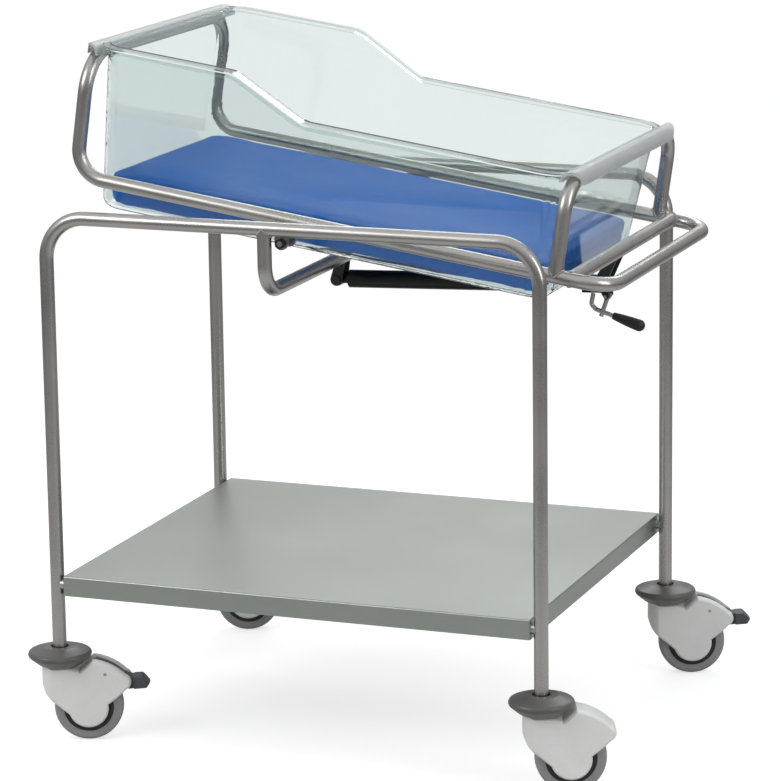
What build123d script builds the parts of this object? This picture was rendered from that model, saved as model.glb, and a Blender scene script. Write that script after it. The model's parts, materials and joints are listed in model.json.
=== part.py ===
from build123d import *
import os
from math import atan2, cos, degrees, hypot, radians, sin, tan

# A hospital bassinet: a bent-tube trolley on four castors carries a cradle that tilts
# on two pivots and is held by a gas spring. A clear tub with a mattress hangs in it.
# +X points to the foot end with the push handle, +Z up, sizes in millimetres.

# Driving sizes of the trolley
leg_spacing_x = 730.0
leg_spacing_y = 585.0
top_rail_height = 764.0
tube_diameter = 20.0
tube_wall = 1.5
side_frame_bend = 60.0

# Dropped cross member that carries the gas spring, under the top rails
drop_member_x = -32.5
drop_member_drop = 90.5
drop_member_bend = 40.0

# Shelf tray
shelf_top_height = 245.5
shelf_flange_depth = 29.0
shelf_sheet = 1.5
shelf_return_lip = 12.0
shelf_corner_radius = 2.5
shelf_spacer_length = 3.0
shelf_spacer_radius = 8.0
shelf_bolt_radius = 3.0
shelf_bolt_drop = 14.5
shelf_bolt_head_width = 10.0
shelf_bolt_head_height = 4.0
shelf_bolt_reach = 3.0

# Pivots of the cradle, under the top rails
pivot_x = -12.0
pivot_drop = 21.0
pivot_bolt_radius = 4.0
pivot_lug_thickness = 5.0
pivot_lug_radius = 9.5
pivot_bush_radius = 7.0
pivot_head_radius = 6.5
pivot_head_height = 5.0
pivot_nut_width = 13.0
pivot_nut_height = 6.0

# Cradle, drawn level about its pivot axis
cradle_tilt = 8.4
cradle_rail_rise = 23.6
cradle_rail_spacing = 477.7
head_hoop_x = -335.4
head_hoop_height = 175.0
head_hoop_low_bend = 42.0
head_hoop_top_bend = 57.0
foot_hoop_x = 381.7
foot_hoop_height = 128.0
foot_hoop_bend = 42.0
handle_x = 459.2
handle_bend = 45.0
cross_tube_x = 402.0
rail_joint_x = 396.0

# Basin
basin_wall = 4.0
basin_drop = 50.0
basin_floor_half_width = 196.0
side_wall_lean = 7.1
head_wall_lean = 1.0
foot_wall_lean = 4.1
basin_plan_corner = 34.0
basin_floor_fillet = 16.0
rim_low = 137.0
rim_slope_head_x = -116.0
rim_slope_foot_x = -10.0
rim_bend = 45.0
rim_flange = 20.0
rim_edge_drop = 9.0
rim_edge_thickness = 3.0
hook_lip_drop = 4.0
hook_plan_corner = 40.0

# Mattress
mattress_thickness = 50.0
mattress_gap = 3.0
mattress_low_fillet = 14.0
mattress_top_fillet = 8.0

# Gas spring: its pin hangs under the cross member, its head pin under the cradle's cross tube
spring_pin_back = 7.5
spring_pin_drop = 33.5
head_pin_back = 23.1
head_pin_drop = 56.6
spring_pin_radius = 4.0
spring_pin_head_radius = 6.5
spring_pin_head_height = 2.0
open_pivot_clearance = 1.4
spring_eye_radius = 9.5
spring_eye_half_width = 8.5
spring_neck_radius = 7.0
spring_cylinder_radius = 13.0
spring_cylinder_wall = 1.5
spring_cylinder_start = 17.0
spring_cylinder_length = 280.0
spring_plug_length = 8.0
spring_gland_length = 12.0
spring_rod_radius = 5.0
spring_piston_length = 10.0
spring_piston_inside = 58.0
piston_clearance = 0.4
release_head_back = 26.0
release_head_front = 12.0
release_head_half_height = 11.0
release_head_half_width = 11.5
release_head_edge = 2.0
lug_plate_thickness = 4.0
lug_plate_radius = 9.0
lug_root_radius = 6.0
cradle_lug_back = 4.0
lug_plate_gap = 0.5

# Release lever
lever_pivot_forward = 8.0
lever_pivot_drop = 17.0
lever_pin_radius = 2.5
lever_eye_radius = 5.5
lever_tab_half = 3.5
lever_rod_radius = 3.2
lever_front_end = (-2.3, -46.5)
lever_back_top = (-12.7, -14.5)
lever_back_bend = (-16.5, -30.0)
lever_elbow = (-9.3, -37.0)
lever_arm_length = 26.4
lever_grip_tip = (61.4, -61.5)
grip_thin_radius = 5.0
grip_thick_radius = 8.5
grip_middle_radius = 7.6
grip_bore_depth = 22.0
lever_wire_bend = 7.0

# Castors: a wheel in a moulded casing, trailing behind its swivel stem
castor_trail_angle = 22.0
castor_trail = 39.8
wheel_radius = 50.0
tyre_half_width = 15.0
tyre_inner_radius = 36.0
tyre_shoulder = 7.0
wheel_crown = 0.8
wheel_gap = 3.0
rim_inner_radius = 31.0
rim_half_width = 13.5
web_half_thickness = 3.0
hub_radius = 12.0
hub_half_width = 19.5
axle_radius = 4.0
casing_half_width = 24.0
casing_skin = 2.5
casing_cheek_gap = 20.0
casing_neck_radius = 26.5
casing_top = 112.0
casing_draft_depth = 4.0
casing_draft = 14.0
casing_bevel_depth = 2.5
casing_bevel = 45.0
casing_lobe_radius = 29.5
casing_lobe_start = 8.0
casing_lobe_end = 200.0
casing_heel_low = 86.0
casing_heel_hollow = (-20.2, 70.5)
casing_shin = (-9.2, 57.8)
casing_shoulder_x = 10.0
casing_saddle = (28.0, 105.0)
casing_crown_start = (47.5, 121.0)
casing_crown_middle = (73.0, 113.0)
casing_nose_top = (94.5, 97.5)
casing_nose_tip = (101.8, 87.5)
casing_nose_bottom = (95.0, 76.5)
casing_calf = (86.0, 67.5)
casing_plan_corner = 10.0
brake_pin_x = 65.0
brake_pin_height = 100.5
brake_pin_radius = 2.5
brake_shoe_gap = 4.6
brake_slot_half_width = 11.3
brake_slot_start = 47.0
brake_boss_radius = 5.2
pedal_half_width = 14.0
pedal_neck_end = 105.5
pedal_back = (51.0, 117.5)
pedal_crown = (71.5, 110.5)
pedal_front = (90.0, 97.5)
pedal_dip = (102.0, 92.5)
pedal_knee = (117.5, 93.0)
pedal_tip = (128.5, 82.5)
pedal_toe = (123.5, 76.5)
pedal_heel = (98.0, 75.0)
pedal_plan_round = 9.6
shoe_low_angle = 34.0
shoe_middle_angle = 55.0
shoe_high_angle = 76.0
brake_pin_inset = 1.0

# Stem and bumper disc
disc_tip_radius = 51.5
disc_bottom = 112.5
disc_widest_height = 129.5
disc_top = 138.5
disc_bottom_radius = 31.0
disc_top_radius = 24.0
disc_rim_round = 5.5
disc_edge_round = 8.0
disc_recess_radius = 13.0
disc_recess_depth = 4.0
stem_collar_radius = 11.5
stem_collar_height = 4.0
stem_plug_length = 55.0
swivel_pin_radius = 6.0
swivel_pin_length = 22.0

# Clearances
running_fit = 0.05
seat_gap = 0.3
side_gap = 0.5

# Values worked out from the sizes above
tube_radius = tube_diameter / 2
bore_radius = tube_radius - tube_wall
leg_x = leg_spacing_x / 2
leg_y = leg_spacing_y / 2
leg_foot_height = disc_top - disc_recess_depth
hook_inner_radius = tube_radius + seat_gap
hook_outer_radius = hook_inner_radius + basin_wall
rim_high = head_hoop_height + hook_outer_radius
rail_y = cradle_rail_spacing / 2
rail_z = cradle_rail_rise
pivot_height = top_rail_height - pivot_drop
drop_member_height = top_rail_height - drop_member_drop
cradle_frame_place = Location((pivot_x, 0, pivot_height), (0, cradle_tilt, 0))
spring_pin_x = drop_member_x - spring_pin_back
spring_pin_height = drop_member_height - spring_pin_drop
head_pin_level = (cross_tube_x - head_pin_back, rail_z - head_pin_drop)
head_pin_at = (cradle_frame_place * Location((head_pin_level[0], 0, head_pin_level[1]))).position
spring_rise = head_pin_at.Z - spring_pin_height
spring_reach = head_pin_at.X - spring_pin_x
spring_angle = degrees(atan2(spring_rise, spring_reach))
spring_length = hypot(spring_rise, spring_reach)
pieces = {}


def keep(name, part, place=Location()):
    """Puts a finished piece in its place and files it under its name."""
    pieces[name] = part.moved(place)


def ring(radius, wall):
    """A tube's section, drawn in the sketch that is open."""
    Circle(radius)
    Circle(radius - wall, mode=Mode.SUBTRACT)


def bent_tube(points, bends, plane=Plane.XY):
    """One length of tube bent along straight runs with an arc at each corner."""
    with BuildPart() as tube:
        with BuildLine(plane):
            route = FilletPolyline(*points, radius=bends)
        with BuildSketch(Plane(origin=route @ 0, z_dir=route % 0)):
            ring(tube_radius, tube_wall)
        sweep()
    return tube.part


def rail_cope(y, z, length, radius=tube_radius):
    """The room that a rail along X takes out of what is welded to it."""
    with BuildPart() as cope:
        with BuildSketch(Plane.YZ):
            with Locations((y, z)):
                Circle(radius)
        extrude(amount=length / 2, both=True)
    return cope.part


# Trolley frame
def side_frame(y):
    """An inverted U of tube: two legs and a top rail, bolted to the shelf."""
    route = [
        (-leg_x, leg_foot_height),
        (-leg_x, top_rail_height),
        (leg_x, top_rail_height),
        (leg_x, leg_foot_height),
    ]
    tube = bent_tube(route, side_frame_bend, Plane.XZ.offset(-y))
    bolt_height = shelf_top_height - shelf_bolt_drop
    with BuildPart() as frame:
        add(tube)
        for side in (-1, 1):
            with BuildSketch(Plane.YZ.offset(side * leg_x)):
                with Locations((y, bolt_height)):
                    Circle(shelf_bolt_radius)
            extrude(amount=-side * tube_diameter, mode=Mode.SUBTRACT)
    return frame.part


keep("near_side_frame", side_frame(-leg_y))
keep("far_side_frame", side_frame(leg_y))

drop_route = [
    (-leg_y, top_rail_height),
    (-leg_y, drop_member_height),
    (leg_y, drop_member_height),
    (leg_y, top_rail_height),
]
with BuildPart() as drop_crossmember:
    add(bent_tube(drop_route, drop_member_bend, Plane.YZ.offset(drop_member_x)))
    for side in (-1, 1):
        add(rail_cope(side * leg_y, top_rail_height, leg_spacing_x), mode=Mode.SUBTRACT)
keep("drop_crossmember", drop_crossmember.part)

# Shelf: one folded sheet with a flange all round and a return lip under it
shelf_half_x = leg_x - tube_radius - shelf_spacer_length
shelf_half_y = leg_y + tube_radius
shelf_bottom = shelf_top_height - shelf_flange_depth
shelf_bolt_height = shelf_top_height - shelf_bolt_drop
with BuildPart() as shelf_tray:
    with BuildSketch(Plane.XY.offset(shelf_bottom)):
        Rectangle(2 * shelf_half_x, 2 * shelf_half_y)
    extrude(amount=shelf_flange_depth)
    fillet(shelf_tray.edges().filter_by(Axis.Z), shelf_corner_radius)
    fillet(shelf_tray.faces().sort_by(Axis.Z)[-1].edges(), shelf_corner_radius)
    with BuildSketch(Plane.XY.offset(shelf_bottom + shelf_sheet)):
        Rectangle(2 * (shelf_half_x - shelf_sheet), 2 * (shelf_half_y - shelf_sheet))
    extrude(amount=shelf_flange_depth - 2 * shelf_sheet, mode=Mode.SUBTRACT)
    with BuildSketch(Plane.XY.offset(shelf_bottom)):
        Rectangle(2 * (shelf_half_x - shelf_return_lip), 2 * (shelf_half_y - shelf_return_lip))
    extrude(amount=shelf_sheet, mode=Mode.SUBTRACT)
    with BuildSketch(Plane.YZ):
        with Locations((-leg_y, shelf_bolt_height), (leg_y, shelf_bolt_height)):
            Circle(shelf_bolt_radius)
    extrude(amount=leg_spacing_x, both=True, mode=Mode.SUBTRACT)
keep("shelf_tray", shelf_tray.part)

with BuildPart() as shelf_spacers:
    for side in (-1, 1):
        with BuildSketch(Plane.YZ.offset(side * shelf_half_x)):
            with Locations((-leg_y, shelf_bolt_height), (leg_y, shelf_bolt_height)):
                ring(shelf_spacer_radius, shelf_spacer_radius - shelf_bolt_radius)
        extrude(amount=side * (shelf_spacer_length + tube_radius / 2))
    for x in (-leg_x, leg_x):
        for y in (-leg_y, leg_y):
            with BuildSketch(Plane.XY.offset(shelf_bottom)):
                with Locations((x, y)):
                    Circle(tube_radius)
            extrude(amount=shelf_flange_depth, mode=Mode.SUBTRACT)
keep("shelf_spacers", shelf_spacers.part)

with BuildPart() as shelf_bolts:
    for side in (-1, 1):
        inner_face = side * (shelf_half_x - shelf_sheet)
        with BuildSketch(Plane.YZ.offset(inner_face)):
            with Locations((-leg_y, shelf_bolt_height), (leg_y, shelf_bolt_height)):
                RegularPolygon(shelf_bolt_head_width / 2, 6, major_radius=False)
        extrude(amount=-side * shelf_bolt_head_height)
        with BuildSketch(Plane.YZ.offset(inner_face)):
            with Locations((-leg_y, shelf_bolt_height), (leg_y, shelf_bolt_height)):
                Circle(shelf_bolt_radius)
        shank = shelf_sheet + shelf_spacer_length + tube_wall + shelf_bolt_reach
        extrude(amount=side * shank)
keep("shelf_bolts", shelf_bolts.part)


# Pivots
def pivot_lug(face_y, outward, rise, bore):
    """A flat lug that hangs from a rail, its face against the rail's side."""
    with BuildPart() as lug:
        with BuildSketch(Plane.XZ.offset(-face_y)):
            Circle(pivot_lug_radius)
            with Locations((0, rise / 2)):
                Rectangle(2 * pivot_lug_radius, rise)
            Circle(bore, mode=Mode.SUBTRACT)
        extrude(amount=-outward * pivot_lug_thickness)
    return lug.part


pivot_place = Location((pivot_x, 0, pivot_height))
trolley_lug_face = leg_y - tube_radius
cradle_lug_face = rail_y + tube_radius
lug_rise = top_rail_height - pivot_height
bolt_fit = pivot_bolt_radius + running_fit
for name, side in (("near", -1), ("far", 1)):
    trolley_lug = pivot_lug(side * trolley_lug_face, -side, lug_rise, pivot_bolt_radius)
    keep(f"{name}_trolley_lug", trolley_lug, pivot_place)
    cradle_lug = pivot_lug(side * cradle_lug_face, side, rail_z, bolt_fit)
    keep(f"{name}_cradle_lug", cradle_lug, cradle_frame_place)

bush_outer_end = trolley_lug_face - pivot_lug_thickness
bush_inner_end = cradle_lug_face + pivot_lug_thickness + seat_gap
with BuildPart() as pivot_bushes:
    for side in (-1, 1):
        with BuildSketch(Plane.XZ.offset(-side * bush_inner_end)):
            ring(pivot_bush_radius, pivot_bush_radius - pivot_bolt_radius)
        extrude(amount=-side * (bush_outer_end - bush_inner_end))
keep("pivot_bushes", pivot_bushes.part, pivot_place)

bolt_head_face = cradle_lug_face - seat_gap
bolt_end = trolley_lug_face + pivot_nut_height
with BuildPart() as pivot_bolts:
    for side in (-1, 1):
        with BuildSketch(Plane.XZ.offset(-side * bolt_head_face)):
            Circle(pivot_bolt_radius)
        extrude(amount=-side * (bolt_end - bolt_head_face))
        with BuildSketch(Plane.XZ.offset(-side * bolt_head_face)):
            Circle(pivot_head_radius)
        extrude(amount=side * pivot_head_height)
keep("pivot_bolts", pivot_bolts.part, pivot_place)

with BuildPart() as pivot_nuts:
    for side in (-1, 1):
        with BuildSketch(Plane.XZ.offset(-side * trolley_lug_face)):
            RegularPolygon(pivot_nut_width / 2, 6, major_radius=False, rotation=30)
            Circle(pivot_bolt_radius, mode=Mode.SUBTRACT)
        extrude(amount=-side * pivot_nut_height)
keep("pivot_nuts", pivot_nuts.part, pivot_place)

# Cradle tubes
cradle_route = [
    (rail_joint_x, -rail_y, rail_z),
    (head_hoop_x, -rail_y, rail_z),
    (head_hoop_x, -rail_y, rail_z + head_hoop_height),
    (head_hoop_x, rail_y, rail_z + head_hoop_height),
    (head_hoop_x, rail_y, rail_z),
    (rail_joint_x, rail_y, rail_z),
]
cradle_bends = [head_hoop_low_bend, head_hoop_top_bend, head_hoop_top_bend, head_hoop_low_bend]
keep("cradle_frame", bent_tube(cradle_route, cradle_bends), cradle_frame_place)

handle_route = [
    (rail_joint_x, -rail_y),
    (handle_x, -rail_y),
    (handle_x, rail_y),
    (rail_joint_x, rail_y),
]
handle_bar = bent_tube(handle_route, handle_bend, Plane.XY.offset(rail_z))
keep("handle_bar", handle_bar, cradle_frame_place)

rail_span = 2 * (handle_x - head_hoop_x)
foot_route = [
    (-rail_y, rail_z),
    (-rail_y, rail_z + foot_hoop_height),
    (rail_y, rail_z + foot_hoop_height),
    (rail_y, rail_z),
]
with BuildPart() as foot_hoop:
    add(bent_tube(foot_route, foot_hoop_bend, Plane.YZ.offset(foot_hoop_x)))
    for side in (-1, 1):
        add(rail_cope(side * rail_y, rail_z, rail_span), mode=Mode.SUBTRACT)
keep("foot_hoop", foot_hoop.part, cradle_frame_place)

with BuildPart() as cross_tube:
    with BuildSketch(Plane.XZ):
        with Locations((cross_tube_x, rail_z)):
            ring(tube_radius, tube_wall)
    extrude(amount=rail_y, both=True)
    for side in (-1, 1):
        add(rail_cope(side * rail_y, rail_z, rail_span), mode=Mode.SUBTRACT)
keep("cross_tube", cross_tube.part, cradle_frame_place)

# Basin: the walls lean outwards, so its plan grows with height
basin_floor_z = rail_z - basin_drop
head_wall_top = head_hoop_x + tube_radius + seat_gap
foot_wall_top = foot_hoop_x - tube_radius - seat_gap
basin_full_height = basin_drop + rim_high + 2 * tube_diameter


def basin_plan(height, grow_x, grow_y):
    """The basin's plan at a height over its floor, drawn in the sketch that is open."""
    head_below_top = basin_drop + head_hoop_height - height
    foot_below_top = basin_drop + foot_hoop_height - height
    head_x = head_wall_top + tan(radians(head_wall_lean)) * head_below_top - grow_x
    foot_x = foot_wall_top - tan(radians(foot_wall_lean)) * foot_below_top + grow_x
    half_width = basin_floor_half_width + tan(radians(side_wall_lean)) * height + grow_y
    with Locations(((head_x + foot_x) / 2, 0)):
        RectangleRounded(foot_x - head_x, 2 * half_width, basin_plan_corner + min(grow_x, 0))


def basin_space(low, high, grow_x, grow_y):
    """The space inside the leaning walls between two heights over the floor."""
    with BuildPart() as space:
        for height in (low, high):
            with BuildSketch(Plane.XY.offset(basin_floor_z + height)):
                basin_plan(height, grow_x, grow_y)
        loft(ruled=True)
    return space.part


def rim_line(level_high, level_low, lift):
    """The stepped rim from end to end: high at the head, down a slope, low at the foot."""
    return [
        (head_wall_top - tube_diameter, rail_z + level_high + lift),
        (rim_slope_head_x, rail_z + level_high + lift),
        (rim_slope_foot_x, rail_z + level_low + lift),
        (foot_wall_top + tube_diameter, rail_z + level_low + lift),
    ]


with BuildPart() as above_rim:
    with BuildSketch(Plane.XZ):
        with BuildLine():
            rim = FilletPolyline(*rim_line(rim_high, rim_low, 0), radius=rim_bend)
            top_z = rail_z + rim_high + 3 * tube_diameter
            head_top = (head_wall_top - tube_diameter, top_z)
            foot_top = (foot_wall_top + tube_diameter, top_z)
            Polyline(rim @ 0, head_top, foot_top, rim @ 1)
        make_face()
    extrude(amount=leg_spacing_y, both=True)



def rim_band(depth, reach):
    """A strip along the rim, of a depth under it, that reaches out past the side walls."""
    with BuildPart() as band:
        with BuildSketch(Plane.XZ):
            with BuildLine():
                upper = FilletPolyline(*rim_line(rim_high, rim_low, 0), radius=rim_bend)
                lower = FilletPolyline(*rim_line(rim_high, rim_low, -depth), radius=rim_bend)
                Line(upper @ 0, lower @ 0)
                Line(upper @ 1, lower @ 1)
            make_face()
        extrude(amount=leg_spacing_y, both=True)
        add(basin_space(0, basin_full_height, 0, reach), mode=Mode.INTERSECT)
    return band.part


with BuildPart() as rim_strip:
    add(rim_band(rim_edge_drop, rim_flange))
    inner_reach = rim_flange - rim_edge_thickness
    with BuildPart(mode=Mode.SUBTRACT):
        add(rim_band(rim_edge_drop, inner_reach))
        add(rim_band(basin_wall, inner_reach), mode=Mode.SUBTRACT)


def flange_reach(rim_height):
    """The half width over the rim's flanges where the rim is at a height over the rails."""
    wall_height = basin_drop + rim_height
    return basin_floor_half_width + tan(radians(side_wall_lean)) * wall_height + rim_flange


def hook_over(bar_x, bar_height, inward):
    """A lip that goes over an end bar: from the end wall up, over and straight down outside."""
    bar_z = rail_z + bar_height
    lip_x = bar_x - inward * (hook_inner_radius + basin_wall / 2)
    half_width = flange_reach(bar_height)
    with BuildPart() as hook:
        with BuildSketch(Plane.XZ):
            with Locations((bar_x, bar_z)):
                ring(hook_outer_radius, basin_wall)
                below = (Align.CENTER, Align.MAX)
                Rectangle(2 * hook_outer_radius, hook_outer_radius, align=below, mode=Mode.SUBTRACT)
            with Locations((lip_x, bar_z)):
                Rectangle(basin_wall, hook_lip_drop, align=below)
        extrude(amount=half_width, both=True)
        with BuildSketch(Plane.XY.offset(bar_z - hook_lip_drop)):
            outer_x = bar_x - inward * hook_outer_radius
            with Locations((outer_x + inward * half_width, 0)):
                RectangleRounded(2 * half_width, 2 * half_width, hook_plan_corner)
        extrude(amount=hook_lip_drop + hook_outer_radius, mode=Mode.INTERSECT)
    return hook.part


with BuildPart() as basin_hollow:
    add(basin_space(basin_wall, basin_full_height, -basin_wall, -basin_wall))
    fillet(basin_hollow.faces().sort_by(Axis.Z)[0].edges(), basin_floor_fillet - basin_wall)

with BuildPart() as basin:
    add(basin_space(0, basin_full_height, 0, 0))
    fillet(basin.faces().sort_by(Axis.Z)[0].edges(), basin_floor_fillet)
    add(above_rim.part, mode=Mode.SUBTRACT)
    add(rim_strip.part)
    add(basin_hollow.part, mode=Mode.SUBTRACT)
    add(hook_over(head_hoop_x, head_hoop_height, 1))
    add(hook_over(foot_hoop_x, foot_hoop_height, -1))
keep("basin", basin.part, cradle_frame_place)

mattress_low = basin_wall + seat_gap
with BuildPart() as mattress:
    mattress_inset = -basin_wall - mattress_gap
    mattress_high = mattress_low + mattress_thickness
    add(basin_space(mattress_low, mattress_high, mattress_inset, mattress_inset))
    fillet(mattress.faces().sort_by(Axis.Z)[0].edges(), mattress_low_fillet)
    fillet(mattress.faces().sort_by(Axis.Z)[-1].edges(), mattress_top_fillet)
keep("mattress", mattress.part, cradle_frame_place)

# Gas spring, drawn along X from the centre of its eye, then turned into its place
spring_place = Location((spring_pin_x, 0, spring_pin_height), (0, -spring_angle, 0))
cylinder_end = spring_cylinder_start + spring_cylinder_length
chamber_radius = spring_cylinder_radius - spring_cylinder_wall

with BuildPart() as gas_spring_cylinder:
    with BuildSketch(Plane.YZ.offset(spring_cylinder_start)):
        ring(spring_cylinder_radius, spring_cylinder_wall)
    extrude(amount=spring_cylinder_length)
keep("gas_spring_cylinder", gas_spring_cylinder.part, spring_place)

with BuildPart() as gas_spring_eye:
    with BuildSketch(Plane.XZ):
        Circle(spring_eye_radius)
    extrude(amount=spring_eye_half_width, both=True)
    with BuildSketch(Plane.YZ):
        Circle(spring_neck_radius)
    extrude(amount=spring_cylinder_start)
    with BuildSketch(Plane.YZ.offset(spring_cylinder_start)):
        Circle(chamber_radius)
    extrude(amount=spring_plug_length)
    with BuildSketch(Plane.XZ):
        Circle(spring_pin_radius + open_pivot_clearance)
    extrude(amount=spring_cylinder_radius, both=True, mode=Mode.SUBTRACT)
keep("gas_spring_eye", gas_spring_eye.part, spring_place)

with BuildPart() as gas_spring_gland:
    with BuildSketch(Plane.YZ.offset(cylinder_end - spring_gland_length)):
        Circle(chamber_radius)
        Circle(spring_rod_radius + running_fit, mode=Mode.SUBTRACT)
    extrude(amount=spring_gland_length)
keep("gas_spring_gland", gas_spring_gland.part, spring_place)

piston_start = cylinder_end - spring_piston_inside - spring_piston_length
head_back = spring_length - release_head_back
with BuildPart() as gas_spring_rod:
    with BuildSketch(Plane.YZ.offset(piston_start)):
        Circle(chamber_radius - piston_clearance)
    extrude(amount=spring_piston_length)
    with BuildSketch(Plane.YZ.offset(piston_start)):
        Circle(spring_rod_radius)
    extrude(amount=head_back - piston_start)
keep("gas_spring_rod", gas_spring_rod.part, spring_place)

lever_pivot_s = spring_length + lever_pivot_forward
with BuildPart() as release_head:
    with BuildSketch(Plane.XZ):
        with BuildLine():
            Polyline(
                (head_back, release_head_half_height),
                (spring_length, release_head_half_height),
                (spring_length + release_head_front, 0),
                (lever_pivot_s + lever_eye_radius, -lever_pivot_drop),
                (lever_pivot_s, -lever_pivot_drop - lever_eye_radius),
                (lever_pivot_s - lever_eye_radius, -release_head_half_height),
                (head_back, -release_head_half_height),
                close=True,
            )
        make_face()
    extrude(amount=release_head_half_width, both=True)
    fillet(release_head.edges().filter_by(Axis.Y), release_head_edge)
    with BuildSketch(Plane.XZ):
        with Locations((spring_length, 0)):
            Circle(spring_pin_radius + running_fit)
        with Locations((lever_pivot_s, -lever_pivot_drop)):
            Circle(lever_pin_radius)
    extrude(amount=release_head_half_width, both=True, mode=Mode.SUBTRACT)
    with BuildSketch(Plane.XZ):
        with Locations((lever_pivot_s, -lever_pivot_drop)):
            Rectangle(3 * lever_eye_radius, 2 * lever_eye_radius + 2 * side_gap)
    extrude(amount=lever_tab_half + side_gap, both=True, mode=Mode.SUBTRACT)
keep("release_head", release_head.part, spring_place)

with BuildPart() as release_lever_pin:
    with BuildSketch(Plane.XZ):
        with Locations((lever_pivot_s, -lever_pivot_drop)):
            Circle(lever_pin_radius)
    extrude(amount=release_head_half_width, both=True)
keep("release_lever_pin", release_lever_pin.part, spring_place)


def pin(reach):
    """A plain pin along Y with a flat head at each end."""
    with BuildPart() as body:
        with BuildSketch(Plane.XZ):
            Circle(spring_pin_radius)
        extrude(amount=reach, both=True)
        for side in (-1, 1):
            with BuildSketch(Plane.XZ.offset(-side * reach)):
                Circle(spring_pin_head_radius)
            extrude(amount=-side * spring_pin_head_height)
    return body.part


def lug_pair(pin_place, tube_place, root_back, inner_half):
    """Two flat plates from a tube down to a pin, one on each side of what they hold."""
    root_place = (tube_place[0] - root_back, tube_place[1])
    with BuildPart() as pair:
        with BuildSketch(Plane.XZ.offset(inner_half)):
            with Locations(pin_place):
                Circle(lug_plate_radius)
            with Locations(root_place):
                Circle(lug_root_radius)
            make_hull()
            with Locations(pin_place):
                Circle(spring_pin_radius, mode=Mode.SUBTRACT)
            with Locations(tube_place):
                Circle(tube_radius, mode=Mode.SUBTRACT)
        extrude(amount=lug_plate_thickness)
        mirror(about=Plane.XZ)
    return pair.part


trolley_lug_half = spring_eye_half_width + lug_plate_gap
trolley_bracket = lug_pair((spring_pin_x, spring_pin_height),
                           (drop_member_x, drop_member_height), 0, trolley_lug_half)
keep("gas_spring_bracket", trolley_bracket)
trolley_pin_place = Location((spring_pin_x, 0, spring_pin_height))
keep("gas_spring_pin", pin(trolley_lug_half + lug_plate_thickness), trolley_pin_place)

cradle_lug_half = release_head_half_width + lug_plate_gap
cradle_bracket = lug_pair(head_pin_level, (cross_tube_x, rail_z), cradle_lug_back,
                          cradle_lug_half)
keep("cradle_bracket", cradle_bracket, cradle_frame_place)
keep("release_head_pin", pin(cradle_lug_half + lug_plate_thickness), Location(head_pin_at))


def from_pin(offset):
    """A point of the lever in the spring's own frame, counted from the head pin."""
    return (spring_length + offset[0], offset[1])


# The grip lies along the last run of the wire, which ends inside it
grip_turn = atan2(lever_elbow[1] - lever_grip_tip[1], lever_grip_tip[0] - lever_elbow[0])
grip_along = Vector(cos(grip_turn), -sin(grip_turn))
grip_start = Vector(*from_pin(lever_elbow)) + grip_along * lever_arm_length
grip_inside = grip_start + grip_along * grip_bore_depth
grip_length = (Vector(*from_pin(lever_grip_tip)) - grip_start).length

with BuildPart() as release_lever:
    with BuildSketch(Plane.XZ):
        with Locations((lever_pivot_s, -lever_pivot_drop)):
            Circle(lever_eye_radius)
    extrude(amount=lever_tab_half, both=True)
    with BuildLine(Plane.XZ):
        front_top = (lever_pivot_s, -lever_pivot_drop - lever_pin_radius)
        front_leg = Line(front_top, from_pin(lever_front_end))
    with BuildSketch(Plane(origin=front_leg @ 0, z_dir=front_leg % 0)):
        Circle(lever_rod_radius)
    sweep(path=front_leg)
    with BuildLine(Plane.XZ):
        wire = FilletPolyline(from_pin(lever_back_top), from_pin(lever_back_bend),
                              from_pin(lever_elbow), (grip_inside.X, grip_inside.Y),
                              radius=lever_wire_bend)
    with BuildSketch(Plane(origin=wire @ 0, z_dir=wire % 0)):
        Circle(lever_rod_radius)
    sweep(path=wire)
    with BuildSketch(Plane.XZ):
        with Locations((lever_pivot_s, -lever_pivot_drop)):
            Circle(lever_pin_radius + running_fit)
    extrude(amount=lever_eye_radius * 2, both=True, mode=Mode.SUBTRACT)
keep("release_lever", release_lever.part, spring_place)

with BuildPart() as lever_grip:
    with BuildSketch(Plane.XZ):
        with BuildLine():
            shoulder = (grip_length - grip_thick_radius, grip_thick_radius)
            tip = (grip_length, 0)
            middle = (grip_length / 2, grip_middle_radius)
            Polyline(tip, (grip_bore_depth, 0), (grip_bore_depth, lever_rod_radius),
                     (0, lever_rod_radius), (0, grip_thin_radius))
            ThreePointArc((0, grip_thin_radius), middle, shoulder)
            RadiusArc(shoulder, tip, grip_thick_radius)
        make_face()
    revolve(axis=Axis.X)
grip_place = Location((grip_start.X, 0, grip_start.Y), (0, degrees(grip_turn), 0))
keep("lever_grip", lever_grip.part, spring_place * grip_place)


# Castors, drawn with the stem on Z, the trail along X and the floor at Z = 0
axle_axis = Axis((castor_trail, 0, wheel_radius), (0, 1, 0))

with BuildPart() as bumper_disc:
    with BuildSketch(Plane.XZ):
        with BuildLine():
            Polyline(
                (disc_recess_radius, disc_top),
                (disc_recess_radius, leg_foot_height),
                (bore_radius, leg_foot_height),
                (bore_radius, disc_bottom + stem_collar_height),
                (stem_collar_radius, disc_bottom + stem_collar_height),
                (stem_collar_radius, disc_bottom),
            )
            FilletPolyline(
                (disc_recess_radius, disc_top),
                (disc_top_radius, disc_top),
                (disc_tip_radius, disc_widest_height),
                (disc_bottom_radius, disc_bottom),
                (stem_collar_radius, disc_bottom),
                radius=[disc_edge_round, disc_rim_round, disc_edge_round],
            )
        make_face()
    revolve(axis=Axis.Z)

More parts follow.
